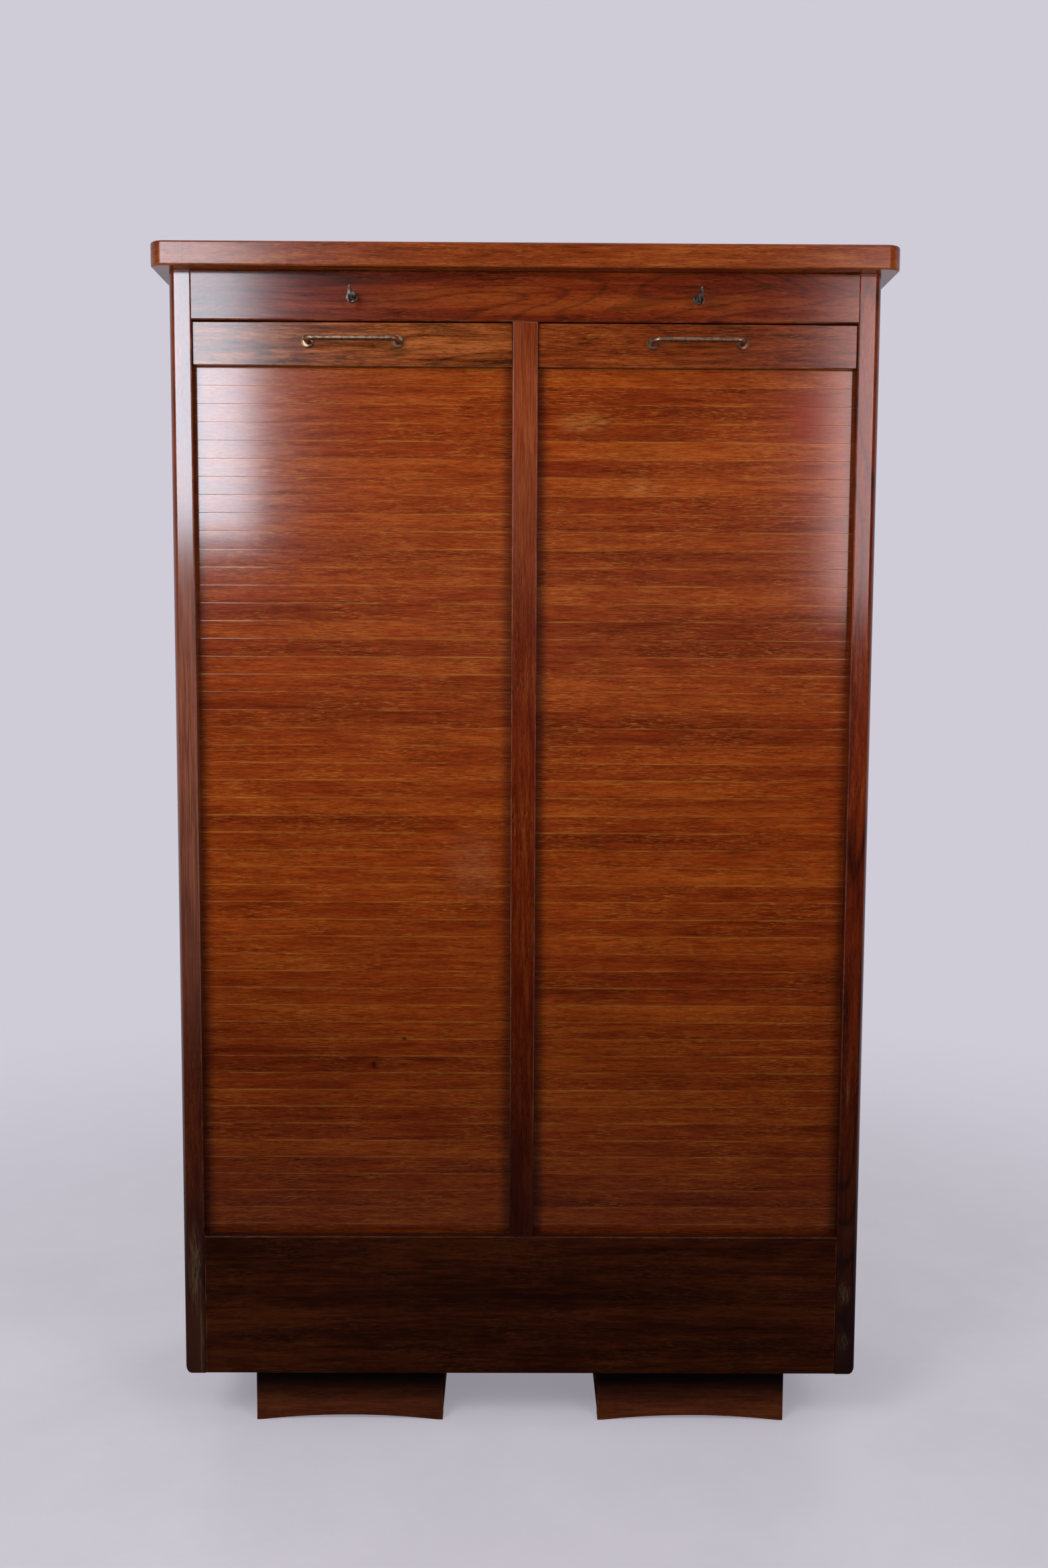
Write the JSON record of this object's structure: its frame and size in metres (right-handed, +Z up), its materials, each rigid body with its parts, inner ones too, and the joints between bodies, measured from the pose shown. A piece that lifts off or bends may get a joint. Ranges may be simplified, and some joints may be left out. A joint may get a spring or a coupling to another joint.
{
  "type": "tambour door cabinet",
  "caption": "Tall free-standing wooden cabinet with side-by-side tambour doors that slide down behind a plinth panel, each with a bar handle and a key lock.",
  "frame": {"origin": "on the floor, under the middle of the cabinet's outline, keys included", "axes": "+Z up, +Y towards the wall behind, +X to the right seen from the front"},
  "size_m": [0.992, 0.434, 1.65],
  "materials": {
    "top_wood": "glossy varnished oak, lighter orange-brown",
    "frame_wood": "glossy varnished oak, red-brown",
    "slat_wood": "glossy varnished oak slats, orange-brown",
    "inner_wood": "satin oak, lightly finished",
    "plywood": "thin plywood, matte",
    "foot_wood": "satin dark oak",
    "brass": "dull old brass",
    "nickel": "worn nickel",
    "steel": "plain steel"
  },
  "bodies": {
    "cabinet": {"top_board": "top_wood", "lock_rail": "frame_wood", "plinth_panel": "frame_wood", "base_board": "inner_wood", "back_panel": "plywood", "centre_partition": "inner_wood", "centre_mullion": "frame_wood", "left_side_panel": "frame_wood", "left_front_stile": "frame_wood", "left_foot_front": "foot_wood", "left_foot_back": "foot_wood", "left_foot_left_side": "foot_wood", "left_foot_right_side": "foot_wood", "left_bay_floor": "inner_wood", "left_shelf_1": "inner_wood", "left_shelf_1_left_bearer": "inner_wood", "left_shelf_1_right_bearer": "inner_wood", "left_shelf_2": "inner_wood", "left_shelf_3": "inner_wood", "left_shelf_3_left_bearer": "inner_wood", "left_shelf_3_right_bearer": "inner_wood", "left_false_back": "plywood", "left_lock_case": "steel", "left_lock_collar": "nickel", "right_side_panel": "frame_wood", "right_front_stile": "frame_wood", "right_foot_front": "foot_wood", "right_foot_back": "foot_wood", "right_foot_left_side": "foot_wood", "right_foot_right_side": "foot_wood", "right_bay_floor": "inner_wood", "right_shelf_1": "inner_wood", "right_shelf_1_left_bearer": "inner_wood", "right_shelf_1_right_bearer": "inner_wood", "right_shelf_2": "inner_wood", "right_shelf_3": "inner_wood", "right_shelf_3_left_bearer": "inner_wood", "right_shelf_3_right_bearer": "inner_wood", "right_false_back": "plywood", "right_lock_case": "steel", "right_lock_collar": "nickel"},
    "left_door": {"left_curtain": "slat_wood", "left_lead_rail": "frame_wood", "left_strike_plate": "steel", "left_handle": "brass", "left_handle_left_rosette": "brass", "left_handle_right_rosette": "brass"},
    "left_plug": {"left_lock_plug": "nickel"},
    "left_key": {"left_key": "nickel"},
    "left_bolt": {"left_lock_bolt": "steel"},
    "right_door": {"right_curtain": "slat_wood", "right_lead_rail": "frame_wood", "right_strike_plate": "steel", "right_handle": "brass", "right_handle_left_rosette": "brass", "right_handle_right_rosette": "brass"},
    "right_plug": {"right_lock_plug": "nickel"},
    "right_key": {"right_key": "nickel"},
    "right_bolt": {"right_lock_bolt": "steel"}
  },
  "joints": [
    {"name": "left_door_slide", "type": "slide", "parent": "cabinet", "child": "left_door", "axis": [0, 0, -1], "range_m": [0, 1.1995], "deforming": ["left_curtain"]},
    {"name": "left_key_turn", "type": "hinge", "parent": "cabinet", "child": "left_plug", "pos_m": [-0.231, -0.183, 1.583], "axis": [0, 1, 0], "range_deg": [0, 360]},
    {"name": "left_key_pull", "type": "slide", "parent": "left_plug", "child": "left_key", "axis": [0, -1, 0], "range_m": [0, 0.05]},
    {"name": "left_bolt_throw", "type": "slide", "parent": "cabinet", "child": "left_bolt", "axis": [0, 0, -1], "range_m": [0, 0.009]},
    {"name": "right_door_slide", "type": "slide", "parent": "cabinet", "child": "right_door", "axis": [0, 0, -1], "range_m": [0, 1.1995], "deforming": ["right_curtain"]},
    {"name": "right_key_turn", "type": "hinge", "parent": "cabinet", "child": "right_plug", "pos_m": [0.231, -0.183, 1.583], "axis": [0, 1, 0], "range_deg": [0, 360]},
    {"name": "right_key_pull", "type": "slide", "parent": "right_plug", "child": "right_key", "axis": [0, -1, 0], "range_m": [0, 0.05]},
    {"name": "right_bolt_throw", "type": "slide", "parent": "cabinet", "child": "right_bolt", "axis": [0, 0, -1], "range_m": [0, 0.009]}
  ],
  "couplings": [
    {"joint": "left_key_turn", "follows": "left_bolt_throw", "rad_per_m": 698.13},
    {"joint": "right_key_turn", "follows": "right_bolt_throw", "rad_per_m": 698.13}
  ]
}
